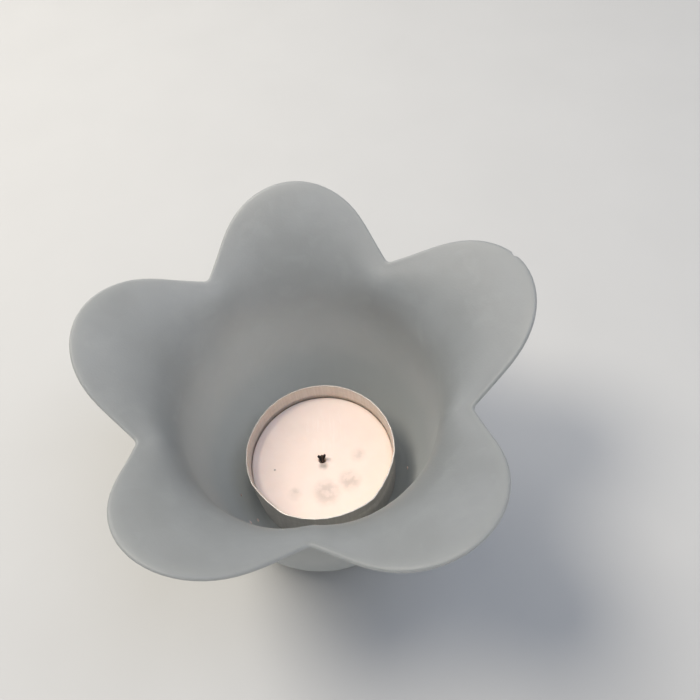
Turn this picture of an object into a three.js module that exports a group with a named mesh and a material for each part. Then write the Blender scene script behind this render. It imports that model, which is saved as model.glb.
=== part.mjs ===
// Flower-shaped glass tealight holder with its tealight, in millimetres, +Z up.
// The origin is on the axis, at the centre of the bowl's flat foot. One notch between petals faces -Y.
import * as THREE from 'three';

// Tealight: the standard size, measured over the cup's lip
const tealightDiameter = 38;
const cupHeight = 15.2;
const cupWall = 0.3;
const cupLipRadius = 0.22;
const cupLipEndDegrees = 135;
const cupCornerRadius = 1.4;
const cupFloorRaise = 0.5;
const cupFloorRaiseRadius = 14.2;
const cupFloorRaiseSlope = 1.0;

// Wax, wick and the steel sustainer that stands the wick up. The knee is a share of the meniscus's width and
// height, and the swell's ends and the crown are shares of the wick's height above the wax.
const waxRimDepth = 5.9;
const waxMeniscus = 0.45;
const waxMeniscusWidth = 1.8;
const waxMeniscusKnee = 0.35;
const waxBottomChamfer = 1.2;
const wickDiameter = 1.7;
const wickAboveWax = 2.3;
const wickTipDiameter = 2.2;
const wickTipTaper = 0.85;
const wickSwellLow = 0.25;
const wickSwellHigh = 0.5;
const wickCrown = 0.12;
const sustainerDiameter = 12.4;
const sustainerThickness = 0.3;
const sustainerCollarHeight = 3.2;
const sustainerCollarWall = 0.45;

// Bowl
const bowlHeight = 65;
const floorThickness = 4;
const bodyWall = 2;
const rimWall = 1.2;
const wellClearance = 1.5;
const bodySwell = 8.7;
const neckHeight = 40;
const petalReach = 19.8;
const petalFill = 0.9;
const notchReach = 7.1;
const notchFillet = 2;
const notchDrop = 9.9;
const rimDropPower = 0.94;
const creaseDepth = 0.8;
const glassOpacity = 0.75;
const tipSlope = THREE.MathUtils.degToRad(27);
const notchSlope = THREE.MathUtils.degToRad(48);

// The petals were opened while the glass was soft, so each reaches a little more or less than the nominal.
// The order runs from the petal right of the front notch round by +X.
const petalExtraReach = [2.1, 2.9, -0.1, -0.2, -0.5];
const petalCount = petalExtraReach.length;

// Handles of the wall's two curves, as shares of the run that each one rounds
const floorHandle = 0.45;
const bodyHandle = 0.2;
const flareLowHandle = 0.55;
const flareHighHandle = 0.42;

// Fits
const seatGap = 0.3;

// How finely the solids are faceted
const petalSteps = 4;
const flankSteps = 3;
const filletSteps = 2;
const bodySteps = 7;
const flareSteps = 7;
const rimSteps = 3;
const latheSides = 40;
const smallLatheSides = 16;
const lipSteps = 5;
const cornerSteps = 3;

// Worked out from the values above
const wellRadius = tealightDiameter / 2 + wellClearance;
const neckRadius = wellRadius + bodySwell;
const tipRadius = neckRadius + petalReach;
const notchRadius = neckRadius + notchReach;
const rimHalf = rimWall / 2;
const halfPetal = Math.PI / petalCount;
const frontNotch = -Math.PI / 2;

const point = (x, y) => new THREE.Vector2(x, y);
const { clamp, lerp, smoothstep } = THREE.MathUtils;

// The point on a circle at a turn in radians.
function onArc(centre, radius, turn) {
  return point(centre.x + radius * Math.cos(turn), centre.y + radius * Math.sin(turn));
}

// Half of one petal in plan, from the middle of a notch to the petal's tip: a small fillet, a straight
// flank and the petal's arc. The largest arc that fits would touch the fillet and leave no flank.
function petalOutline() {
  const filletCentre = notchRadius + notchFillet;
  const reach = tipRadius + notchFillet;
  const widest = (reach ** 2 - filletCentre ** 2) / (2 * (reach - filletCentre * Math.cos(halfPetal)));
  const petalRadius = petalFill * (tipRadius - widest);
  const petal = point(Math.cos(halfPetal), Math.sin(halfPetal)).multiplyScalar(tipRadius - petalRadius);
  const fillet = point(filletCentre, 0);
  const toFillet = fillet.clone().sub(petal);
  const lean = Math.acos((petalRadius + notchFillet) / toFillet.length());
  const flankTurn = toFillet.angle() + lean;
  const flankStart = onArc(fillet, notchFillet, flankTurn - Math.PI);
  const flankEnd = onArc(petal, petalRadius, flankTurn);
  const half = [];
  for (let step = 0; step < filletSteps; step += 1) {
    half.push(onArc(fillet, notchFillet, lerp(Math.PI, flankTurn - Math.PI, step / filletSteps)));
  }
  for (let step = 0; step < flankSteps; step += 1) {
    half.push(flankStart.clone().lerp(flankEnd, step / flankSteps));
  }
  for (let step = 0; step <= petalSteps; step += 1) {
    half.push(onArc(petal, petalRadius, lerp(flankTurn, halfPetal + 2 * Math.PI, step / petalSteps)));
  }
  return half;
}

// Every rim point once round the flower: its azimuth, its radius, and how full the petal is there,
// from 0 at a notch to 1 at a tip.
function rimStations() {
  const half = petalOutline().map((p) => ({ azimuth: Math.atan2(p.y, p.x), radius: p.length() }));
  const across = 2 * halfPetal;
  const back = half.slice(1, -1).reverse().map((s) => ({ azimuth: across - s.azimuth, radius: s.radius }));
  const stations = [];
  petalExtraReach.forEach((extra, petal) => {
    const turn = frontNotch + petal * across;
    for (const s of [...half, ...back]) {
      const fullness = clamp((s.radius - notchRadius) / (tipRadius - notchRadius), 0, 1);
      stations.push({ azimuth: turn + s.azimuth, radius: s.radius + extra * fullness, fullness });
    }
  });
  return stations;
}

// The inner face's meridian at one rim station, from the floor's edge to the rim.
function innerMeridian(rimRadius, fullness) {
  const drop = notchDrop * ((1 - fullness) ** rimDropPower);
  const slope = lerp(notchSlope, tipSlope, fullness);
  const topGap = rimHalf * (1 - Math.cos(slope));
  const rim = point(rimRadius - rimHalf * (1 + Math.sin(slope)), bowlHeight - topGap - drop);
  const handle = flareHighHandle * (rim.x - neckRadius);
  const crease = creaseDepth * (1 - fullness) ** 2;
  const low = neckHeight + flareLowHandle * (bowlHeight - neckHeight);
  const body = new THREE.CubicBezierCurve(
    point(wellRadius, floorThickness),
    point(wellRadius + floorHandle * bodySwell, floorThickness),
    point(neckRadius, neckHeight - bodyHandle * (neckHeight - floorThickness)),
    point(neckRadius, neckHeight),
  );
  const flare = new THREE.CubicBezierCurve(
    point(neckRadius, neckHeight),
    point(neckRadius - crease, low),
    point(rim.x - handle * Math.cos(slope), rim.y - handle * Math.sin(slope)),
    rim,
  );
  return { body, flare };
}

// One section through the wall: the inner face up, over the round rim, and down the outer face.
function wallSection(rimRadius, fullness) {
  const { body, flare } = innerMeridian(rimRadius, fullness);
  const stations = [];
  for (let step = 0; step <= bodySteps; step += 1) {
    const along = step / bodySteps;
    const wall = lerp(floorThickness, bodyWall, smoothstep(along, 0, 1));
    stations.push({ at: body.getPoint(along), tangent: body.getTangent(along), wall });
  }
  for (let step = 1; step <= flareSteps; step += 1) {
    const along = step / flareSteps;
    const wall = lerp(bodyWall, rimWall, along);
    stations.push({ at: flare.getPoint(along), tangent: flare.getTangent(along), wall });
  }
  const outward = (s) => point(s.tangent.y, -s.tangent.x);
  const inner = stations.map((s) => s.at);
  const outer = stations.map((s) => s.at.clone().addScaledVector(outward(s), s.wall));
  const last = stations[stations.length - 1];
  const middle = last.at.clone().addScaledVector(outward(last), rimHalf);
  const round = [];
  for (let step = 1; step < rimSteps; step += 1) {
    const turn = Math.PI * step / rimSteps;
    const edge = middle.clone().addScaledVector(outward(last), -Math.cos(turn) * rimHalf);
    round.push(edge.addScaledVector(last.tangent, Math.sin(turn) * rimHalf));
  }
  return [...inner, ...round, ...outer.reverse()];
}

// The bowl's skin: a section at every rim station, closed by the floor's and the foot's centre points.
function bowlGeometry() {
  const stations = rimStations();
  const positions = [0, 0, floorThickness, 0, 0, 0];
  const index = [];
  let ringSize = 0;
  for (const station of stations) {
    const section = wallSection(station.radius, station.fullness);
    ringSize = section.length;
    for (const p of section) {
      positions.push(p.x * Math.cos(station.azimuth), p.x * Math.sin(station.azimuth), p.y);
    }
  }
  const vertex = (column, row) => 2 + (column % stations.length) * ringSize + row;
  for (let column = 0; column < stations.length; column += 1) {
    index.push(0, vertex(column, 0), vertex(column + 1, 0));
    index.push(1, vertex(column + 1, ringSize - 1), vertex(column, ringSize - 1));
    for (let row = 0; row < ringSize - 1; row += 1) {
      const corner = vertex(column, row);
      const across = vertex(column + 1, row + 1);
      index.push(corner, vertex(column, row + 1), across);
      index.push(corner, across, vertex(column + 1, row));
    }
  }
  const geometry = new THREE.BufferGeometry();
  geometry.setAttribute('position', new THREE.Float32BufferAttribute(positions, 3));
  geometry.setIndex(index);
  geometry.computeVertexNormals();
  return geometry;
}

// Points on a quarter or longer arc, for the profiles below.
function arcPoints(centre, radius, startDegrees, endDegrees, steps) {
  const points = [];
  for (let step = 0; step <= steps; step += 1) {
    const degrees = lerp(startDegrees, endDegrees, step / steps);
    points.push(onArc(centre, radius, THREE.MathUtils.degToRad(degrees)));
  }
  return points;
}

// A profile of radius and height turned round Z.
function turned(profile, sides) {
  const geometry = new THREE.LatheGeometry(profile, sides);
  geometry.rotateX(Math.PI / 2);
  return geometry;
}

const cupOuterRadius = tealightDiameter / 2 - cupLipRadius;
const cupInnerRadius = cupOuterRadius - cupWall;
const cupFloorTop = cupFloorRaise + cupWall;

// A drawn cup: its floor is raised inside a standing ring, and its rim is turned out in a small round lip.
function cupGeometry() {
  const lipCentre = point(cupOuterRadius, cupHeight - cupLipRadius);
  const corner = point(cupOuterRadius - cupCornerRadius, cupCornerRadius);
  const rampEnd = cupFloorRaiseRadius + cupFloorRaiseSlope;
  const profile = [
    point(0, cupFloorRaise),
    point(cupFloorRaiseRadius, cupFloorRaise),
    point(rampEnd, 0),
    ...arcPoints(corner, cupCornerRadius, -90, 0, cornerSteps),
    ...arcPoints(lipCentre, cupLipRadius, -90, cupLipEndDegrees, lipSteps),
    point(cupInnerRadius, lipCentre.y),
    ...arcPoints(corner, cupCornerRadius - cupWall, 0, -90, cornerSteps),
    point(rampEnd, cupWall),
    point(cupFloorRaiseRadius, cupFloorTop),
    point(0, cupFloorTop),
  ];
  return turned(profile, latheSides);
}

const waxRadius = cupInnerRadius - seatGap;
const waxTop = cupHeight - waxRimDepth;
const waxBottom = cupFloorTop + seatGap;
const wickRadius = wickDiameter / 2;
const collarBore = wickRadius + seatGap;
const collarRadius = collarBore + sustainerCollarWall;
const sustainerRadius = sustainerDiameter / 2;

// The cake is cast round the wick and its sustainer, so its underside has their pocket.
function waxGeometry() {
  const pocketRadius = sustainerRadius + seatGap;
  const pocketTop = waxBottom + sustainerThickness + seatGap;
  const collarPocket = collarRadius + seatGap;
  const collarPocketTop = waxBottom + sustainerCollarHeight + seatGap;
  const bore = wickRadius + seatGap;
  const profile = [
    point(pocketRadius, waxBottom),
    point(waxRadius - waxBottomChamfer, waxBottom),
    point(waxRadius, waxBottom + waxBottomChamfer),
    point(waxRadius, waxTop + waxMeniscus),
    point(waxRadius - waxMeniscusWidth * waxMeniscusKnee, waxTop + waxMeniscus * waxMeniscusKnee),
    point(waxRadius - waxMeniscusWidth, waxTop),
    point(bore, waxTop),
    point(bore, collarPocketTop),
    point(collarPocket, collarPocketTop),
    point(collarPocket, pocketTop),
    point(pocketRadius, pocketTop),
    point(pocketRadius, waxBottom),
  ];
  return turned(profile, latheSides);
}

// A steel disc with a hollow collar that is pinched round the wick's foot.
function sustainerGeometry() {
  const profile = [
    point(collarBore, waxBottom),
    point(sustainerRadius, waxBottom),
    point(sustainerRadius, waxBottom + sustainerThickness),
    point(collarRadius, waxBottom + sustainerThickness),
    point(collarRadius, waxBottom + sustainerCollarHeight),
    point(collarBore, waxBottom + sustainerCollarHeight),
    point(collarBore, waxBottom),
  ];
  return turned(profile, smallLatheSides);
}

// A straight braided wick with a slightly swollen burnt tip.
function wickGeometry() {
  const wickTipRadius = wickTipDiameter / 2;
  const profile = [
    point(0, waxBottom),
    point(wickRadius, waxBottom),
    point(wickRadius, waxTop + wickAboveWax * wickSwellLow),
    point(wickTipRadius, waxTop + wickAboveWax * wickSwellHigh),
    point(wickTipRadius * wickTipTaper, waxTop + wickAboveWax * (1 - wickCrown)),
    point(0, waxTop + wickAboveWax),
  ];
  return turned(profile, smallLatheSides);
}

function piece(name, geometry, colour, roughness, metalness) {
  const material = new THREE.MeshStandardMaterial({ color: colour, roughness, metalness });
  const mesh = new THREE.Mesh(geometry, material);
  mesh.name = name;
  return mesh;
}

function tealight() {
  const candle = new THREE.Group();
  candle.add(
    piece('tealight_cup', cupGeometry(), 0xc9c7c3, 0.3, 1),
    piece('wax', waxGeometry(), 0xf6dfd0, 0.5, 0),
    piece('wick_sustainer', sustainerGeometry(), 0xa9abad, 0.35, 1),
    piece('wick', wickGeometry(), 0x1d1a18, 0.95, 0),
  );
  candle.position.z = floorThickness + seatGap;
  return candle;
}

const holder = new THREE.Group();
const bowl = piece('flower_bowl', bowlGeometry(), 0xaab0b3, 0.45, 0);
bowl.material.transparent = true;
bowl.material.opacity = glassOpacity;
holder.add(bowl, tealight());

export default holder;
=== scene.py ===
import math
import random

import bmesh
import bpy
from mathutils import Matrix, Vector, noise


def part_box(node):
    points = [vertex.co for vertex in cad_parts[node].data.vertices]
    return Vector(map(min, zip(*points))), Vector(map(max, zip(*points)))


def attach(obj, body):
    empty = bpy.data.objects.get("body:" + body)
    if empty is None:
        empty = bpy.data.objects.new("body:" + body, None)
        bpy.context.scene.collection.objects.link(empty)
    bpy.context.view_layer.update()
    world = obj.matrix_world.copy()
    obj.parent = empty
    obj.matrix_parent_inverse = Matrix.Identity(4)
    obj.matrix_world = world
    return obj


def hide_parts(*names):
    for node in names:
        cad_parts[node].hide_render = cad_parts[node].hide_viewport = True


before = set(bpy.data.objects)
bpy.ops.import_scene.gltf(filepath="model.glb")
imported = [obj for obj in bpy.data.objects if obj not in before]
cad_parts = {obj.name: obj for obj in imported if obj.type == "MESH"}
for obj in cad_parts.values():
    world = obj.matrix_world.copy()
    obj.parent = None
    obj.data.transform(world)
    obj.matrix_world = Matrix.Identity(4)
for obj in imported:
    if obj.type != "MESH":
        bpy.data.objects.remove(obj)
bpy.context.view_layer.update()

mm = 0.001
weldDistance = 0.002 * mm
bowlLow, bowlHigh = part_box("flower_bowl")
cupLow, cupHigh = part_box("tealight_cup")
waxLow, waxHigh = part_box("wax")
wickLow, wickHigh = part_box("wick")
discLow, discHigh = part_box("wick_sustainer")
print("frame loaded, bowl", [round(side / mm, 1) for side in bowlHigh - bowlLow], "mm")


def toLinear(hexColour):
    channels = [int(hexColour[i:i + 2], 16) / 255 for i in (1, 3, 5)]
    linear = [c / 12.92 if c <= 0.04045 else ((c + 0.055) / 1.055) ** 2.4 for c in channels]
    return (*linear, 1.0)


def mix(a, b, share):
    return a + (b - a) * share


def smooth(share):
    share = min(1.0, max(0.0, share))
    return share * share * (3 - 2 * share)


def polar(radius, azimuth, height):
    return Vector((radius * math.cos(azimuth), radius * math.sin(azimuth), height))


def deselectAll():
    if bpy.context.mode != "OBJECT":
        bpy.ops.object.mode_set(mode="OBJECT")
    bpy.ops.object.select_all(action="DESELECT")


def finishPiece(piece, name, body, replaced=(), smoothDegrees=40):
    if bpy.context.mode != "OBJECT":
        bpy.ops.object.mode_set(mode="OBJECT")
    piece.name = name
    piece.data.name = name
    deselectAll()
    piece.select_set(True)
    bpy.context.view_layer.objects.active = piece
    bpy.ops.object.mode_set(mode="EDIT")
    bpy.ops.mesh.select_all(action="SELECT")
    bpy.ops.mesh.remove_doubles(threshold=weldDistance)
    bpy.ops.mesh.normals_make_consistent(inside=False)
    bpy.ops.object.mode_set(mode="OBJECT")
    bpy.ops.object.transform_apply(location=True, rotation=True, scale=True)
    bpy.ops.object.shade_smooth_by_angle(angle=math.radians(smoothDegrees))
    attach(piece, body)
    if replaced:
        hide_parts(*replaced)
    return piece


# Adds a shader node. Settings are its properties, colour stops or sockets, and links feed its sockets.
def addNode(material, kind, settings=None, links=None):
    node = material.node_tree.nodes.new("ShaderNode" + kind)
    for key, value in (settings or {}).items():
        if key == "stops":
            elements = node.color_ramp.elements
            while len(elements) < len(value):
                elements.new(1.0)
            for element, (position, colour) in zip(elements, value):
                element.position = position
                element.color = colour
        elif isinstance(key, str) and hasattr(node, key):
            setattr(node, key, value)
        else:
            node.inputs[key].default_value = value
    for key, source in (links or {}).items():
        material.node_tree.links.new(source, node.inputs[key])
    return node


# Two colours mixed by a share. Either colour is a hex string or another node's colour.
def mixColours(material, share, first, second):
    links = {0: share}
    settings = {"data_type": "RGBA"}
    for key, colour in ((6, first), (7, second)):
        if isinstance(colour, str):
            settings[key] = toLinear(colour)
        else:
            links[key] = colour
    return addNode(material, "Mix", settings, links).outputs[2]


# A value from low to high becomes one from start to end.
def remap(material, value, low=0.0, high=1.0, start=0.0, end=1.0, **settings):
    ends = {"From Min": low, "From Max": high, "To Min": start, "To Max": end}
    return addNode(material, "MapRange", {**settings, **ends}, {"Value": value}).outputs[0]


# Noise whose features are this many millimetres across.
def grainOf(material, place, size, detail, **settings):
    settings.update({"Scale": scaleOf(size), "Detail": detail})
    return addNode(material, "TexNoise", settings, {"Vector": place}).outputs[0]


# How far a place is from a spot given in metres.
def distanceOf(material, place, spot):
    return addNode(material, "VectorMath", {"operation": "DISTANCE", 1: spot}, {0: place}).outputs["Value"]


# Relief of this depth in mm, laid over another relief if there is one.
def bumpOf(material, height, depth, under=None):
    links = {"Height": height}
    if under:
        links["Normal"] = under
    return addNode(material, "Bump", {"Strength": 1.0, "Distance": depth * mm}, links).outputs[0]


def newMaterial(name):
    material = bpy.data.materials.new(name)
    material.use_nodes = True
    material.node_tree.nodes.clear()
    return material


# A pattern whose features are this many millimetres across.
def scaleOf(sizeInMm):
    return 1 / (sizeInMm * mm)


def applyModifier(piece, kind, **settings):
    modifier = piece.modifiers.new(kind.title(), kind)
    for key, value in settings.items():
        setattr(modifier, key, value)
    bpy.context.view_layer.objects.active = piece
    bpy.ops.object.modifier_apply(modifier=modifier.name)


# A ring of vertices is extruded up and down a profile, as on a potter's wheel. Radii and heights are in mm.
def startRing(sides, radius, height, filled=True):
    deselectAll()
    bpy.ops.mesh.primitive_circle_add(vertices=sides, radius=radius * mm, location=(0, 0, height * mm),
                                      fill_type="TRIFAN" if filled else "NOTHING")
    piece = bpy.context.object
    bpy.ops.object.transform_apply(location=True, rotation=True, scale=True)
    bpy.ops.object.mode_set(mode="EDIT")
    bpy.ops.mesh.select_mode(type="EDGE")
    bpy.ops.mesh.select_all(action="SELECT")
    if filled:
        bpy.ops.mesh.region_to_loop()
    return piece


def raiseRing(fromRing, toRing):
    growth = toRing[0] / fromRing[0]
    rise = (toRing[1] - fromRing[1]) * mm
    bpy.ops.mesh.extrude_region_move(TRANSFORM_OT_translate={"value": (0, 0, rise)})
    if growth > 0:
        bpy.ops.transform.resize(value=(growth, growth, 1), center_override=(0, 0, toRing[1] * mm))
    else:
        bpy.ops.mesh.merge(type="CENTER")


def turnedPiece(sides, profile):
    closedRing = profile[0] == profile[-1]
    rings = profile if closedRing else profile[1:]
    piece = startRing(sides, *rings[0], filled=not closedRing)
    last = len(rings) - (1 if closedRing else 0)
    for before, after in zip(rings[:last - 1], rings[1:last]):
        raiseRing(before, after)
    if closedRing:
        bpy.ops.mesh.select_mode(type="EDGE")
        bpy.ops.mesh.select_all(action="DESELECT")
        bpy.ops.mesh.select_non_manifold()
        bpy.ops.mesh.bridge_edge_loops()
    bpy.ops.object.mode_set(mode="OBJECT")
    return piece


def arc(centreRadius, centreHeight, radius, startDegrees, endDegrees, steps):
    turns = [math.radians(mix(startDegrees, endDegrees, step / steps)) for step in range(steps + 1)]
    return [(centreRadius + radius * math.cos(t), centreHeight + radius * math.sin(t)) for t in turns]


# Flower bowl: frosted glass, one wall from the floor to five petals. Sizes in mm, slopes in degrees.
bowlShape = {
    "wellRadius": 20.5, "neckRadius": 29.2, "tipRadius": 49.0, "notchRadius": 36.3, "notchFillet": 2.0,
    "petalFill": 0.9, "extraReach": (2.1, 2.9, -0.1, -0.2, -0.5),
    "floorThickness": 4.0, "bodyWall": 2.0, "rimWall": 1.1,
    "neckHeight": 40.0, "notchDrop": 9.9, "dropPower": 0.94, "creaseDepth": 0.8,
    "tipSlope": 27.0, "notchSlope": 48.0,
    "floorHandle": 0.45, "bodyHandle": 0.2, "flareLowHandle": 0.55, "flareHighHandle": 0.42,
    "insideTheFrame": 0.12,
    "filletSteps": 3, "flankSteps": 4, "petalSteps": 6,
    "floorRings": (3.0, 8.0, 14.0), "bodySteps": 9, "flareSteps": 9, "rimSteps": 4,
    "chip": {
        "place": (47.3, 20.1), "radius": 1.5, "bite": 0.65, "grain": 0.7, "roughness": 0.2, "rimBand": 2.5,
    },
}


# Half of one petal in plan: the notch's fillet, a straight flank and the petal's arc. The largest arc that
# fits would touch the fillet and leave no flank.
def petalOutline(shape):
    half = math.pi / 5
    small = shape["notchFillet"]
    filletCentre = shape["notchRadius"] + small
    reach = shape["tipRadius"] + small
    widest = (reach ** 2 - filletCentre ** 2) / (2 * (reach - filletCentre * math.cos(half)))
    radius = shape["petalFill"] * (shape["tipRadius"] - widest)
    petal = polar(shape["tipRadius"] - radius, half, 0)
    fillet = Vector((filletCentre, 0, 0))
    toFillet = fillet - petal
    lean = math.acos((radius + small) / toFillet.length)
    flankTurn = math.atan2(toFillet.y, toFillet.x) + lean
    flankStart = fillet + polar(small, flankTurn - math.pi, 0)
    flankEnd = petal + polar(radius, flankTurn, 0)
    points = []
    for step in range(shape["filletSteps"]):
        turn = mix(-math.pi, flankTurn - math.pi, step / shape["filletSteps"])
        points.append(fillet + polar(small, turn, 0))
    for step in range(shape["flankSteps"]):
        points.append(flankStart.lerp(flankEnd, step / shape["flankSteps"]))
    for step in range(shape["petalSteps"] + 1):
        points.append(petal + polar(radius, mix(flankTurn, half, step / shape["petalSteps"]), 0))
    return [(math.atan2(p.y, p.x), p.length) for p in points]


# Every column of the wall: its azimuth, how far its rim reaches, and its fullness from notch 0 to tip 1.
def bowlColumns(shape):
    half = math.pi / 5
    rising = petalOutline(shape)
    falling = [(2 * half - azimuth, radius) for azimuth, radius in rising[-2:0:-1]]
    columns = []
    for petal, extra in enumerate(shape["extraReach"]):
        for azimuth, radius in rising + falling:
            fullness = (radius - shape["notchRadius"]) / (shape["tipRadius"] - shape["notchRadius"])
            fullness = min(1.0, max(0.0, fullness))
            turn = azimuth + petal * 2 * half - math.pi / 2
            turn = (turn + math.pi) % (2 * math.pi) - math.pi
            columns.append((turn, radius + extra * fullness - shape["insideTheFrame"], fullness))
    return sorted(columns)


def bezier(corners, share):
    a, b, c, d = corners
    rest = 1 - share
    at = a * rest ** 3 + b * 3 * rest ** 2 * share + c * 3 * rest * share ** 2 + d * share ** 3
    along = (b - a) * rest ** 2 + (c - b) * 2 * rest * share + (d - c) * share ** 2
    return at, along.normalized()


# One column's section: inner face up, over the fire-polished rim, outer face down. Radius and height in mm.
def wallSection(shape, rimReach, fullness):
    top = bowlHigh.z / mm - shape["insideTheFrame"]
    neck, well, floor = shape["neckRadius"], shape["wellRadius"], shape["floorThickness"]
    slope = math.radians(mix(shape["notchSlope"], shape["tipSlope"], fullness))
    half = shape["rimWall"] / 2
    drop = shape["notchDrop"] * (1 - fullness) ** shape["dropPower"]
    rim = Vector((rimReach - half * (1 + math.sin(slope)), top - half * (1 - math.cos(slope)) - drop))
    handle = shape["flareHighHandle"] * (rim.x - neck)
    crease = shape["creaseDepth"] * (1 - fullness) ** 2
    neckHeight = shape["neckHeight"]
    body = [Vector((well, floor)), Vector((well + shape["floorHandle"] * (neck - well), floor)),
            Vector((neck, neckHeight - shape["bodyHandle"] * (neckHeight - floor))),
            Vector((neck, neckHeight))]
    flare = [Vector((neck, neckHeight)),
             Vector((neck - crease, neckHeight + shape["flareLowHandle"] * (top - neckHeight))),
             rim - handle * Vector((math.cos(slope), math.sin(slope))), rim]
    stations = []
    for step in range(shape["bodySteps"] + 1):
        share = step / shape["bodySteps"]
        stations.append((*bezier(body, share), mix(floor, shape["bodyWall"], smooth(share))))
    for step in range(1, shape["flareSteps"] + 1):
        share = step / shape["flareSteps"]
        stations.append((*bezier(flare, share), mix(shape["bodyWall"], shape["rimWall"], share)))
    inner = [at for at, along, wall in stations]
    outer = [at + wall * Vector((along.y, -along.x)) for at, along, wall in stations]
    at, along, wall = stations[-1]
    outward = Vector((along.y, -along.x))
    middle = at + outward * half
    rounding = []
    for step in range(1, shape["rimSteps"]):
        turn = math.pi * step / shape["rimSteps"]
        rounding.append(middle - outward * math.cos(turn) * half + along * math.sin(turn) * half)
    floorRings = [Vector((radius, floor)) for radius in shape["floorRings"]]
    footRings = [Vector((radius, 0)) for radius in reversed(shape["floorRings"])]
    return floorRings + inner + rounding + outer[::-1] + footRings


# This share is 1 on the polished edge, where the glass material paints a lighter glow, a painted highlight.
def placeRing(piece, columns, sections, row, onRim=False):
    mesh = bmesh.from_edit_mesh(piece.data)
    rimShare = mesh.verts.layers.float.get("rimShare") or mesh.verts.layers.float.new("rimShare")
    ring = sorted((v for v in mesh.verts if v.select), key=lambda v: math.atan2(v.co.y, v.co.x))
    for vertex, (azimuth, reach, fullness), section in zip(ring, columns, sections):
        vertex.co = polar(section[row].x * mm, azimuth, section[row].y * mm)
        vertex[rimShare] = 1.0 if onRim else 0.0
    bmesh.update_edit_mesh(piece.data)


# The small bite out of the rim of the petal on the right, left rough as glass breaks.
def chipRim(bowl, chip):
    near = min((v for v in bowl.data.vertices if v.co.z > bowlHigh.z - chip["rimBand"] * mm),
               key=lambda v: (v.co.xy - Vector(chip["place"]) * mm).length)
    outward = Vector((near.co.x, near.co.y, 0)).normalized()
    centre = near.co + outward * (chip["radius"] - chip["bite"]) * mm
    deselectAll()
    bpy.ops.mesh.primitive_ico_sphere_add(subdivisions=4, radius=chip["radius"] * mm, location=centre)
    tool = bpy.context.object
    bpy.ops.object.transform_apply(location=True, rotation=True, scale=True)
    for vertex in tool.data.vertices:
        grain = noise.noise(vertex.co / (chip["grain"] * mm))
        vertex.co += (vertex.co - centre).normalized() * grain * chip["roughness"] * mm
    deselectAll()
    bowl.select_set(True)
    applyModifier(bowl, "BOOLEAN", operation="DIFFERENCE", object=tool, solver="EXACT")
    bpy.data.objects.remove(tool)


def makeBowl(shape):
    columns = bowlColumns(shape)
    sections = [wallSection(shape, reach, fullness) for azimuth, reach, fullness in columns]
    bowl = startRing(len(columns), shape["floorRings"][0], shape["floorThickness"])
    placeRing(bowl, columns, sections, 0)
    firstRim = len(shape["floorRings"]) + shape["bodySteps"] + shape["flareSteps"]
    for row in range(1, len(sections[0])):
        bpy.ops.mesh.extrude_region_move()
        placeRing(bowl, columns, sections, row, firstRim <= row <= firstRim + shape["rimSteps"])
    bpy.ops.mesh.extrude_region_move()
    bpy.ops.mesh.merge(type="CENTER")
    bpy.ops.mesh.select_all(action="SELECT")
    bpy.ops.mesh.normals_make_consistent(inside=False)
    bpy.ops.object.mode_set(mode="OBJECT")
    applyModifier(bowl, "SUBSURF", levels=1, render_levels=1)
    chipRim(bowl, shape["chip"])
    return bowl


bowl = makeBowl(bowlShape)
print("bowl modelled,", len(bowl.data.polygons), "faces")


# Acid-frosted soda-lime glass: pressed, then etched all over. The etch scatters what passes through it and
# leaves a satin skin, cloudy where it bit less evenly. Its rim, polished round, is painted a little lighter, a
# painted glow of light coming out of the edge. The real etch is far finer, so its grain is drawn as coarse as
# it needs to be. The glass is also painted paler towards the bottom, painted light for the light gathered
# low in the bowl.
glassFinish = {
    "name": "acidFrostedSodaLimeGlass",
    "body": "#757979", "cloud": "#7d8182", "haze": "#878b8c", "rim": "#7c807f", "paintedLowLight": "#c4c8c6",
    "paintedLowLightHeight": 50.0,
    "transmission": 0.25, "roughness": (0.46, 0.62), "ior": 1.5, "milkiness": 0.62, "scatterDepth": 22.0,
    "cloudRange": (0.36, 0.64), "hazeRange": (0.54, 0.8), "hazeShare": 0.5,
    "cloudSize": 14.0, "hazeSize": 6.0, "grainSize": 0.45, "grainDepth": 0.02,
    "rippleSize": 9.0, "rippleDepth": 0.10,
}


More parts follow.
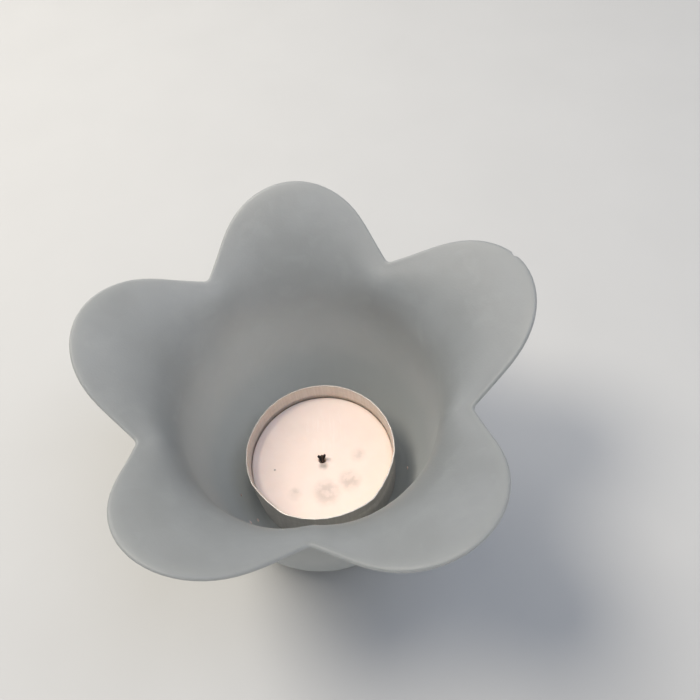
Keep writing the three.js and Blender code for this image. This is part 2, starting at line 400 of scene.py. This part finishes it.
def makeGlass(finish):
    material = newMaterial(finish["name"])
    place = addNode(material, "TexCoord").outputs["Object"]
    cloud = grainOf(material, place, finish["cloudSize"], 3.0)
    cloudShare = remap(material, cloud, *finish["cloudRange"])
    haze = grainOf(material, place, finish["hazeSize"], 5.0, Distortion=0.4)
    hazeShare = remap(material, haze, *finish["hazeRange"], end=finish["hazeShare"])
    clouded = mixColours(material, cloudShare, finish["body"], finish["cloud"])
    hazed = mixColours(material, hazeShare, clouded, finish["haze"])
    height = addNode(material, "SeparateXYZ", links={0: place}).outputs[2]
    # Painted light: the colour turns paler towards the bottom, standing in for the light gathered low in the
    # bowl.
    paintedLowLightShare = remap(material, height, finish["paintedLowLightHeight"] * mm, 0.0)
    paintedLowLit = mixColours(material, paintedLowLightShare, hazed, finish["paintedLowLight"])
    # Painted highlight: the polished rim is painted lighter, a glow of light coming out of the edge.
    rim = addNode(material, "Attribute", {"attribute_name": "rimShare"})
    rimGlowPainted = mixColours(material, rim.outputs["Fac"], paintedLowLit, finish["rim"])
    rough = remap(material, cloud, start=finish["roughness"][0], end=finish["roughness"][1])
    ripple = grainOf(material, place, finish["rippleSize"], 1.0)
    rippleBump = bumpOf(material, ripple, finish["rippleDepth"])
    grain = grainOf(material, place, finish["grainSize"], 2.0)
    grainBump = bumpOf(material, grain, finish["grainDepth"], rippleBump)
    glass = addNode(material, "BsdfPrincipled", {
        "IOR": finish["ior"], "Transmission Weight": finish["transmission"],
        "Subsurface Weight": finish["milkiness"], "Subsurface Scale": finish["scatterDepth"] * mm,
        "Subsurface Radius": (1.0, 1.0, 1.0),
    }, {"Base Color": rimGlowPainted, "Roughness": rough, "Normal": grainBump})
    addNode(material, "OutputMaterial", links={"Surface": glass.outputs[0]})
    return material


bowl.data.materials.append(makeGlass(glassFinish))
finishPiece(bowl, "flower_bowl_glass", "bowl", ("flower_bowl",))


# Tealight cup: thin drawn aluminium with a standing ring, a stiffening step in its wall and dents in its rim.
cupShape = {
    "sides": 144, "wall": 0.3, "lip": 0.22, "corner": 1.4,
    "floorRaise": 0.5, "raiseRadius": 14.2, "raiseSlope": 1.0,
    "stepHeight": 11.4, "stepDepth": 0.16, "pleats": 36, "pleatDepth": 0.035,
    "dents": ((-28, 21, 0.38), (-90, 40, 0.75), (-136, 20, 0.55), (150, 16, 0.2)),
    "dentTop": 15.2, "dentFoot": 9.0,
    "wander": 0.1, "wanderSize": 7.0, "wanderMiddle": 0.6, "pleatRise": 3.0, "wallBand": 1.2,
    "stepRings": ((-3.4, 0), (-0.9, 0), (-0.4, 1), (0.3, 1), (0.8, 0)), "shoulder": 2.2, "baseRing": 6.0,
    "lipTurn": (-60, 120), "lipSteps": 6, "cornerSteps": 5, "insideTheFrame": 0.01,
}


# From the middle of the base outwards, up the wall, over the curled lip and back down inside.
def cupProfile(shape):
    wall, lip, ring = shape["wall"], shape["lip"], shape["baseRing"]
    top, base = cupHigh.z / mm, cupLow.z / mm
    outerRadius = cupHigh.x / mm - lip - shape["insideTheFrame"]
    corner = (outerRadius - shape["corner"], base + shape["corner"])
    rampEnd = shape["raiseRadius"] + shape["raiseSlope"]
    floor = base + shape["floorRaise"]
    step = base + shape["stepHeight"]
    outside = [(outerRadius - inset * shape["stepDepth"], step + rise) for rise, inset in shape["stepRings"]]
    outside.append((outerRadius, top - shape["shoulder"]))
    inside = [(radius - wall, height) for radius, height in reversed(outside)]
    return [
        (0, floor), (ring, floor), (shape["raiseRadius"], floor), (rampEnd, base),
        *arc(*corner, shape["corner"], -90, 0, shape["cornerSteps"]), *outside,
        *arc(outerRadius, top - lip, lip, *shape["lipTurn"], shape["lipSteps"]),
        (outerRadius - wall, top - 2 * lip), *inside,
        *arc(*corner, shape["corner"] - wall, 0, -90, shape["cornerSteps"]),
        (rampEnd, base + wall), (shape["raiseRadius"], floor + wall), (ring, floor + wall), (0, floor + wall),
    ]


def pressCup(cup, shape):
    radius, base = cupHigh.x, cupLow.z
    for vertex in cup.data.vertices:
        reach = vertex.co.xy.length
        if reach < radius - shape["wallBand"] * mm:
            continue
        azimuth = math.atan2(vertex.co.y, vertex.co.x)
        height = (vertex.co.z - base) / mm
        share = smooth((height - shape["dentFoot"]) / (shape["dentTop"] - shape["dentFoot"]))
        pushed = 0.0
        for middle, halfWidth, depth in shape["dents"]:
            off = math.remainder(azimuth - math.radians(middle), 2 * math.pi) / math.radians(halfWidth)
            pushed = max(pushed, depth * mm * (1 - off ** 2) * share)
        pleat = math.sin(shape["pleats"] * azimuth) - 1
        ripple = shape["pleatDepth"] * mm * pleat * smooth(height / shape["pleatRise"])
        uneven = noise.noise(vertex.co / (shape["wanderSize"] * mm)) - shape["wanderMiddle"]
        wander = shape["wander"] * mm * uneven * share
        scale = (reach - pushed + ripple + wander) / reach
        vertex.co.x *= scale
        vertex.co.y *= scale


cup = turnedPiece(cupShape["sides"], cupProfile(cupShape))
pressCup(cup, cupShape)
print("cup modelled")


# Drawn aluminium foil cup: rolled sheet pulled through a die. The die leaves it bright but drawn out upwards,
# so its mirror is soft, and handling leaves shallow creases.
foilFinish = {
    "name": "drawnAluminiumFoil", "metal": "#d6d1cb", "dull": "#bfb9b2", "roughness": (0.38, 0.54),
    "streakWidth": 0.5, "streakLength": 9.0, "streakDepth": 0.008, "creaseSize": 5.0, "creaseDepth": 0.06,
}


def makeFoil(finish):
    material = newMaterial(finish["name"])
    place = addNode(material, "TexCoord").outputs["Object"]
    stretch = 1 / finish["streakLength"] * finish["streakWidth"]
    drawn = addNode(material, "Mapping", {"Scale": (1, 1, stretch)}, {"Vector": place}).outputs[0]
    streak = grainOf(material, drawn, finish["streakWidth"], 3.0)
    crease = grainOf(material, place, finish["creaseSize"], 3.0)
    colour = mixColours(material, streak, finish["metal"], finish["dull"])
    rough = remap(material, streak, start=finish["roughness"][0], end=finish["roughness"][1])
    creaseBump = bumpOf(material, crease, finish["creaseDepth"])
    streakBump = bumpOf(material, streak, finish["streakDepth"], creaseBump)
    foil = addNode(material, "BsdfPrincipled", {"Metallic": 1.0},
                   {"Base Color": colour, "Roughness": rough, "Normal": streakBump})
    addNode(material, "OutputMaterial", links={"Surface": foil.outputs[0]})
    return material


cup.data.materials.append(makeFoil(foilFinish))
finishPiece(cup, "tealight_cup_foil", "tealight", ("tealight_cup",))


# Wax cake: cast paraffin with a slight meniscus at its edge and a shallow pool round the wick.
waxShape = {
    "sides": 144, "spread": 0.18, "poolRadius": 7.0, "poolDepth": 0.18, "topRings": 14,
    "unevenness": 0.05, "unevenSize": 4.0, "bore": 0.95, "collar": 1.9, "fit": 0.3, "discRoom": 0.6,
    "surfaceDrop": 0.4, "foot": 1.2, "footChamfer": 0.35, "boreLip": 0.35, "poolStart": 1.6,
    "wickRoom": 1.5, "topBand": 1.2, "sideRings": (2.0, 0.25),
    "meniscus": ((0.1, -0.02), (0.3, 0.1), (0.8, 0.05)), "boreEdge": ((0.1, 0.06), (0.0, -0.15)),
}
waxSurface = waxHigh.z / mm - waxShape["surfaceDrop"]


# Outwards under the cake, up its side, over the meniscus and the pool, then down the bore past the sustainer.
def waxProfile(shape):
    outer, bottom = waxHigh.x / mm + shape["spread"], waxLow.z / mm
    discRadius, collarTop = discHigh.x / mm + shape["fit"], discHigh.z / mm + shape["fit"]
    discTop = bottom + shape["discRoom"]
    collar, bore = shape["collar"], shape["bore"]
    foot, chamfer = shape["foot"], shape["footChamfer"]
    count = shape["topRings"]
    dished = []
    for step in range(count + 1):
        radius = mix(outer - shape["poolStart"], bore + shape["boreLip"], step / count)
        dip = shape["poolDepth"] * (1 - smooth(radius / shape["poolRadius"]))
        dished.append((radius, waxSurface - dip))
    poolFloor = dished[-1][1]
    side = [(outer, waxSurface - below) for below in shape["sideRings"]]
    meniscus = [(outer - inwards, waxSurface + up) for inwards, up in shape["meniscus"]]
    boreEdge = [(bore + out, poolFloor + up) for out, up in shape["boreEdge"]]
    return [
        (discRadius, bottom), (outer - foot, bottom), (outer - chamfer, bottom + chamfer),
        (outer, bottom + foot), *side, *meniscus, *dished, *boreEdge,
        (bore, collarTop), (collar, collarTop), (collar, discTop),
        (discRadius, discTop), (discRadius, bottom),
    ]


# The set surface rises and falls a little, except right at the wick.
def settleWax(wax, shape):
    for vertex in wax.data.vertices:
        onTop = vertex.co.z > waxHigh.z - shape["topBand"] * mm
        if onTop and vertex.co.xy.length > shape["wickRoom"] * mm:
            spot = Vector((vertex.co.x, vertex.co.y, 0)) / (shape["unevenSize"] * mm)
            vertex.co.z += noise.fractal(spot, 0.6, 2.0, 3) * shape["unevenness"] * mm


wax = turnedPiece(waxShape["sides"], waxProfile(waxShape))
settleWax(wax, waxShape)
print("wax modelled")


# Cast paraffin: poured, then melted and set again round the wick. Light goes a little way in, which softens
# its edges, and it keeps soot round the wick, faint pale streaks and dull patches where the pool set.
waxFinish = {
    "name": "castParaffinWax", "wax": "#f5e0d3", "pale": "#fbeee4", "dull": "#ead5c7", "soot": "#877d71",
    "subsurface": 0.35, "subsurfaceDepth": 0.6, "roughness": (0.42, 0.6),
    "mottleSize": 7.0, "mottle": 0.3, "pitSize": 1.4, "pitDepth": 0.03,
    "streakWidth": 0.7, "streakStretch": 0.15, "streaks": 0.5, "streakPlace": (1.1, 9.0), "streakReach": 8.0,
    "marks": ((0.2, -1.6, 1.7, 0.7), (6.7, -6.4, 3.8, 0.35), (0.6, -9.0, 4.6, 0.35), (-7.4, -8.7, 2.4, 0.3),
              (9.3, 0.3, 2.6, 0.25), (-12.4, -1.6, 0.4, 1.0)),
    "markGrain": 2.0, "markRange": (0.4, 0.58), "markEven": 0.45, "markCore": 0.2,
    "mottleRange": (0.42, 0.7), "streakRange": (0.5, 0.7), "subsurfaceColour": (1.0, 0.75, 0.55), "ior": 1.44,
}


def makeWax(finish):
    material = newMaterial(finish["name"])
    place = addNode(material, "TexCoord").outputs["Object"]
    mottle = grainOf(material, place, finish["mottleSize"], 4.0)
    mottleShare = remap(material, mottle, *finish["mottleRange"], end=finish["mottle"])
    stretch = (1, finish["streakStretch"], 1)
    drawn = addNode(material, "Mapping", {"Scale": stretch}, {"Vector": place}).outputs[0]
    streak = grainOf(material, drawn, finish["streakWidth"], 2.0)
    streakMiddle = (*(side * mm for side in finish["streakPlace"]), waxHigh.z)
    streakAway = distanceOf(material, place, streakMiddle)
    streakNear = remap(material, streakAway, finish["streakReach"] * mm, 0.0, end=finish["streaks"])
    low, high = finish["streakRange"]
    streakShare = addNode(material, "MapRange", {"From Min": low, "From Max": high},
                          {"Value": streak, "To Max": streakNear}).outputs[0]
    dulled = mixColours(material, mottleShare, finish["wax"], finish["dull"])
    colour = mixColours(material, streakShare, dulled, finish["pale"])
    ragged = grainOf(material, place, finish["markGrain"], 3.0)
    patchy = remap(material, ragged, *finish["markRange"], start=finish["markEven"])
    for x, y, radius, strength in finish["marks"]:
        spot = (x * mm, y * mm, waxSurface * mm)
        away = distanceOf(material, place, spot)
        inside = remap(material, away, radius * mm, finish["markCore"] * radius * mm, end=strength,
                       interpolation_type="SMOOTHSTEP")
        share = addNode(material, "Math", {"operation": "MULTIPLY"}, {0: inside, 1: patchy}).outputs[0]
        colour = mixColours(material, share, colour, finish["soot"])
    rough = remap(material, mottle, start=finish["roughness"][0], end=finish["roughness"][1])
    pit = grainOf(material, place, finish["pitSize"], 3.0)
    bump = bumpOf(material, pit, finish["pitDepth"])
    wax = addNode(material, "BsdfPrincipled", {
        "Subsurface Weight": finish["subsurface"], "Subsurface Scale": finish["subsurfaceDepth"] * mm,
        "Subsurface Radius": finish["subsurfaceColour"], "IOR": finish["ior"],
    }, {"Base Color": colour, "Roughness": rough, "Normal": bump})
    addNode(material, "OutputMaterial", links={"Surface": wax.outputs[0]})
    return material


waxMaterial = makeWax(waxFinish)
wax.data.materials.append(waxMaterial)
finishPiece(wax, "wax_cake_cast", "wax_cake", ("wax",))


# Wick sustainer: a thin tinned disc with a collar crimped on the wick.
discShape = {
    "sides": 48, "thickness": 0.3, "edge": 0.08, "corner": 0.1,
    "bead": 0.12, "beadPlace": 1.5, "beadHalf": 0.3,
    "collar": 1.6, "collarFillet": ((0.5, 0.0), (0.15, 0.12), (0.0, 0.4)), "collarBand": (1.2, 0.9),
    "bore": 1.15, "crimps": 4, "crimpDepth": 0.18, "crimpStart": 0.9, "boreAtCrimp": 0.95,
}


# Along the underside from the bore, round the rim, over the bead and up the collar.
def discProfile(shape):
    low, high, rim = discLow.z / mm, discHigh.z / mm, discHigh.x / mm
    top = low + shape["thickness"]
    edge, corner = shape["edge"], shape["corner"]
    collar, bore = shape["collar"], shape["bore"]
    bead, half = rim - shape["beadPlace"], shape["beadHalf"]
    bandLow, bandHigh = shape["collarBand"]
    fillet = [(collar + out, top + up) for out, up in shape["collarFillet"]]
    return [
        (bore, low), (rim - corner, low), (rim, low + edge), (rim, top - edge), (rim - corner, top),
        (bead + half, top), (bead, top + shape["bead"]), (bead - half, top), *fillet,
        (collar, top + bandLow), (collar, high - bandHigh), (collar, high - corner), (collar - corner, high),
        (bore + corner, high), (bore, high - corner), (bore, low),
    ]


# The collar is squeezed on the wick at four places.
def crimpCollar(disc, shape):
    for vertex in disc.data.vertices:
        if vertex.co.z > discLow.z + shape["crimpStart"] * mm:
            azimuth = math.atan2(vertex.co.y, vertex.co.x)
            squeeze = max(0.0, math.cos(shape["crimps"] * azimuth)) ** 3 * shape["crimpDepth"] * mm
            reach = vertex.co.xy.length
            keep = max(reach - squeeze, shape["boreAtCrimp"] * mm) / reach
            vertex.co.x *= keep
            vertex.co.y *= keep


disc = turnedPiece(discShape["sides"], discProfile(discShape))
crimpCollar(disc, discShape)
print("sustainer modelled")


# Tin-plated steel sheet, stamped. The tin keeps it silvery with a faint frosty crystal pattern.
tinFinish = {
    "name": "tinPlatedSteel", "bright": "#cfd1d2", "dull": "#a9acae",
    "roughness": (0.24, 0.4), "crystal": 1.6,
}


def makeTin(finish):
    material = newMaterial(finish["name"])
    place = addNode(material, "TexCoord").outputs["Object"]
    crystal = addNode(material, "TexVoronoi", {"Scale": scaleOf(finish["crystal"])}, {"Vector": place})
    grey = addNode(material, "RGBToBW", links={"Color": crystal.outputs["Color"]}).outputs[0]
    colour = mixColours(material, grey, finish["bright"], finish["dull"])
    rough = remap(material, grey, start=finish["roughness"][0], end=finish["roughness"][1])
    tin = addNode(material, "BsdfPrincipled", {"Metallic": 1.0}, {"Base Color": colour, "Roughness": rough})
    addNode(material, "OutputMaterial", links={"Surface": tin.outputs[0]})
    return material


disc.data.materials.append(makeTin(tinFinish))
finishPiece(disc, "wick_sustainer_tinned", "wax_cake", ("wick_sustainer",))


# Wick: three braided cotton strands, charred and splayed at the tip.
wickShape = {
    "strandRadius": 0.38, "braidRadius": 0.2, "pitch": 3.4, "steps": 44, "sides": 10,
    "fan": ((-0.74, 0.1), (0.74, 0.16), (0.02, 0.14)), "shorter": (0.25, 0.15, 0.4), "tipShrink": 0.95,
    "stemLean": -0.45, "ends": 0.05, "tipRound": 0.12, "tipCap": 0.03, "voxel": 0.07,
    "burnStart": 0.6, "burnLength": 1.2, "fibreSize": 0.35, "fibreDepth": 0.07, "fibreUnburnt": 0.4,
}


# The three strands are braided up to the wax, then fan out into two lobes with the third between them.
def strandPath(shape, strand):
    low, high = wickLow.z / mm, wickHigh.z / mm
    end = high - shape["shorter"][strand]
    fanX, fanY = shape["fan"][strand]
    path = []
    for step in range(shape["steps"] + 1):
        height = mix(low + shape["ends"], end, step / shape["steps"])
        turn = 2 * math.pi * ((height - low) / shape["pitch"] + strand / len(shape["fan"]))
        above = smooth((height - waxSurface) / (end - waxSurface))
        stem = shape["stemLean"] * smooth(1 - abs(height - waxSurface)) * (1 - above)
        braid = shape["braidRadius"] * (1 - above)
        x = braid * math.cos(turn) + fanX * above
        y = braid * math.sin(turn) + fanY * above + stem
        path.append(Vector((x, y, height)) * mm)
    return path


def makeStrand(shape, strand):
    path = strandPath(shape, strand)
    piece = startRing(shape["sides"], shape["strandRadius"], 0)
    mesh = bmesh.from_edit_mesh(piece.data)
    bmesh.ops.translate(mesh, verts=mesh.verts[:], vec=path[0])
    bmesh.update_edit_mesh(piece.data)
    for before, after in zip(path, path[1:]):
        bpy.ops.mesh.extrude_region_move(TRANSFORM_OT_translate={"value": after - before})
    bpy.ops.transform.resize(value=(shape["tipShrink"], shape["tipShrink"], 1), center_override=path[-1])
    bpy.ops.mesh.extrude_region_move(TRANSFORM_OT_translate={"value": (0, 0, shape["tipRound"] * mm)})
    bpy.ops.transform.resize(value=(0.5, 0.5, 1), center_override=path[-1])
    bpy.ops.mesh.extrude_region_move(TRANSFORM_OT_translate={"value": (0, 0, shape["tipCap"] * mm)})
    bpy.ops.mesh.merge(type="CENTER")
    bpy.ops.object.mode_set(mode="OBJECT")
    return piece


# The strands are fused, then roughened along their normals, more where they are burnt.
def makeWick(shape):
    strands = [makeStrand(shape, strand) for strand in range(len(shape["fan"]))]
    deselectAll()
    for strand in strands:
        strand.select_set(True)
    bpy.context.view_layer.objects.active = strands[0]
    bpy.ops.object.join()
    wick = bpy.context.object
    applyModifier(wick, "REMESH", mode="VOXEL", voxel_size=shape["voxel"] * mm)
    applyModifier(wick, "SMOOTH", factor=0.5, iterations=2)
    outward = [vertex.normal.copy() for vertex in wick.data.vertices]
    for vertex, normal in zip(wick.data.vertices, outward):
        burnt = smooth(((vertex.co.z - waxHigh.z) / mm + shape["burnStart"]) / shape["burnLength"])
        fibre = noise.fractal(vertex.co / (shape["fibreSize"] * mm), 0.7, 2.1, 3)
        vertex.co += normal * fibre * shape["fibreDepth"] * mm * (shape["fibreUnburnt"] + burnt)
    return wick


wick = makeWick(wickShape)
print("wick modelled,", len(wick.data.polygons), "faces")


# Braided cotton, waxed and burnt. Below the wax it is creamy and matt, and the flame has left black char with
# brown between the strands and a little grey ash. The fibres are drawn coarser than real ones.
cottonFinish = {
    "name": "charredCottonWick", "roughness": 0.92,
    "cotton": "#d9cbb2", "scorched": "#6a5140", "char": "#17110d", "ash": "#5d5148",
    "scorchedAt": 0.45, "charAt": 0.8, "ashRange": (0.56, 0.72), "ashShare": 0.7,
    "fibreWidth": 0.16, "fibreDepth": 0.05, "ashSize": 0.5, "charStart": -1.2, "charFull": 0.4,
    "brown": "#5a3f30", "brownMiddle": 0.1, "brownWidth": 0.3, "brownShare": 0.75,
}


def makeCotton(finish):
    material = newMaterial(finish["name"])
    place = addNode(material, "TexCoord").outputs["Object"]
    split = addNode(material, "SeparateXYZ", links={0: place})
    charStart = (waxSurface + finish["charStart"]) * mm
    charFull = (waxSurface + finish["charFull"]) * mm
    height = remap(material, split.outputs[2], charStart, charFull)
    stops = (
        (0.0, toLinear(finish["cotton"])),
        (finish["scorchedAt"], toLinear(finish["scorched"])),
        (finish["charAt"], toLinear(finish["char"])),
    )
    burn = addNode(material, "ValToRGB", {"stops": stops}, {"Fac": height}).outputs[0]
    offset = {"operation": "SUBTRACT", 1: finish["brownMiddle"] * mm}
    middle = addNode(material, "Math", offset, {0: split.outputs[0]}).outputs[0]
    aside = addNode(material, "Math", {"operation": "ABSOLUTE"}, {0: middle}).outputs[0]
    brownShare = remap(material, aside, finish["brownWidth"] * mm, 0.0, end=finish["brownShare"])
    browned = mixColours(material, brownShare, burn, finish["brown"])
    ash = grainOf(material, place, finish["ashSize"], 3.0)
    ashShare = remap(material, ash, *finish["ashRange"], end=finish["ashShare"])
    ashed = mixColours(material, ashShare, browned, finish["ash"])
    fibre = grainOf(material, place, finish["fibreWidth"], 2.0)
    bump = bumpOf(material, fibre, finish["fibreDepth"])
    cotton = addNode(material, "BsdfPrincipled", {"Roughness": finish["roughness"]},
                     {"Base Color": ashed, "Normal": bump})
    addNode(material, "OutputMaterial", links={"Surface": cotton.outputs[0]})
    return material


wick.data.materials.append(makeCotton(cottonFinish))
finishPiece(wick, "wick_braided", "wax_cake", ("wick",), 60)


# Crumbs: flecks of wax dropped on the glass round the cup.
crumbShape = {
    "places": ((-13.6, 18.9), (22.0, -1.2), (-22.4, -5.0), (-19.5, -13.4), (-18.4, -11.4)),
    "size": 0.45, "seed": 4, "dropFrom": 60, "raised": 0.1, "roughness": 0.35, "grain": 0.25,
}


def makeCrumbs(shape):
    random.seed(shape["seed"])
    crumbs = []
    for x, y in shape["places"]:
        deselectAll()
        bpy.ops.mesh.primitive_ico_sphere_add(subdivisions=2, radius=shape["size"] * mm)
        crumb = bpy.context.object
        spot = Vector((x, y, shape["dropFrom"])) * mm
        hit, place, normal, face = bowl.ray_cast(spot, Vector((0, 0, -1)))
        stretch = Vector((random.uniform(0.7, 1.3), random.uniform(0.5, 0.9), 0.5))
        for vertex in crumb.data.vertices:
            grain = noise.noise(vertex.co / (shape["grain"] * mm) + Vector((x, y, 0)))
            vertex.co = vertex.co * stretch * (1 + shape["roughness"] * grain)
        tilt = normal.to_track_quat("Z", "Y").to_matrix().to_4x4()
        crumb.data.transform(Matrix.Translation(place + normal * shape["raised"] * mm) @ tilt)
        crumbs.append(crumb)
    deselectAll()
    for crumb in crumbs:
        crumb.select_set(True)
    bpy.context.view_layer.objects.active = crumbs[0]
    bpy.ops.object.join()
    return bpy.context.object


crumbs = makeCrumbs(crumbShape)
print("crumbs modelled")
crumbs.data.materials.append(waxMaterial)
finishPiece(crumbs, "wax_crumbs", "bowl", (), 60)


# Pale floor, soft lamps and the camera. Places and sizes in mm, turns in degrees, lamp strength in watts.
stageShape = {
    "floor": "#b8b8b6", "floorSize": 3000, "floorGap": 0.05, "fleckSize": 30, "fleckTone": 0.03,
    "air": "#eceef2", "airStrength": 0.5,
    "lamps": {
        "key_lamp": {"place": (-280, 80, 600), "size": 280, "watts": 3.1, "colour": "#fff6e8"},
        "window_lamp": {"place": (-300, 440, 480), "size": 460, "watts": 2.2, "colour": "#fffaf4"},
        "fill_lamp": {"place": (260, -60, 620), "size": 420, "watts": 1.4, "colour": "#d8e4ff"},
    },
    "camera": {
        "place": (13.25, -77.15, 179.34), "turn": 1.86, "tilt": 33.61, "roll": -7.45,
        "lens": 36, "sensor": 36,
    },
}


def makeFloor(shape):
    deselectAll()
    bpy.ops.mesh.primitive_plane_add(size=shape["floorSize"] * mm, location=(0, 0, -shape["floorGap"] * mm))
    floor = bpy.context.object
    floor.name = "pale_floor"
    board = newMaterial("paleMattBoard")
    place = addNode(board, "TexCoord").outputs["Object"]
    fleck = grainOf(board, place, shape["fleckSize"], 4.0)
    tone = remap(board, fleck, start=1 - shape["fleckTone"], end=1 + shape["fleckTone"])
    tinted = {"data_type": "RGBA", "blend_type": "MULTIPLY", 0: 1.0, 6: toLinear(shape["floor"])}
    colour = addNode(board, "Mix", tinted, {7: tone})
    paper = addNode(board, "BsdfPrincipled", {"Roughness": 0.9}, {"Base Color": colour.outputs[2]})
    addNode(board, "OutputMaterial", links={"Surface": paper.outputs[0]})
    floor.data.materials.append(board)


def makeLamps(shape):
    for name, lamp in shape["lamps"].items():
        light = bpy.data.lights.new(name, "AREA")
        light.shape = "DISK"
        light.size = lamp["size"] * mm
        light.energy = lamp["watts"]
        light.color = toLinear(lamp["colour"])[:3]
        holder = bpy.data.objects.new(name, light)
        bpy.context.scene.collection.objects.link(holder)
        place = Vector(lamp["place"]) * mm
        holder.matrix_world = Matrix.Translation(place) @ place.to_track_quat("Z", "Y").to_matrix().to_4x4()
    world = bpy.data.worlds.new("studio_air")
    world.use_nodes = True
    world.node_tree.nodes["Background"].inputs["Color"].default_value = toLinear(shape["air"])
    world.node_tree.nodes["Background"].inputs["Strength"].default_value = shape["airStrength"]
    bpy.context.scene.world = world


def makeCamera(view):
    lens = bpy.data.cameras.new("camera")
    lens.lens = view["lens"]
    lens.sensor_width = view["sensor"]
    lens.clip_start = 0.01
    camera = bpy.data.objects.new("camera", lens)
    bpy.context.scene.collection.objects.link(camera)
    turn = Matrix.Rotation(math.radians(view["turn"]), 4, "Z")
    tilt = Matrix.Rotation(math.radians(view["tilt"]), 4, "X")
    roll = Matrix.Rotation(math.radians(view["roll"]), 4, "Z")
    camera.matrix_world = Matrix.Translation(Vector(view["place"]) * mm) @ turn @ tilt @ roll
    bpy.context.scene.camera = camera
    bpy.context.scene.view_settings.view_transform = "Standard"


makeFloor(stageShape)
makeLamps(stageShape)
makeCamera(stageShape["camera"])
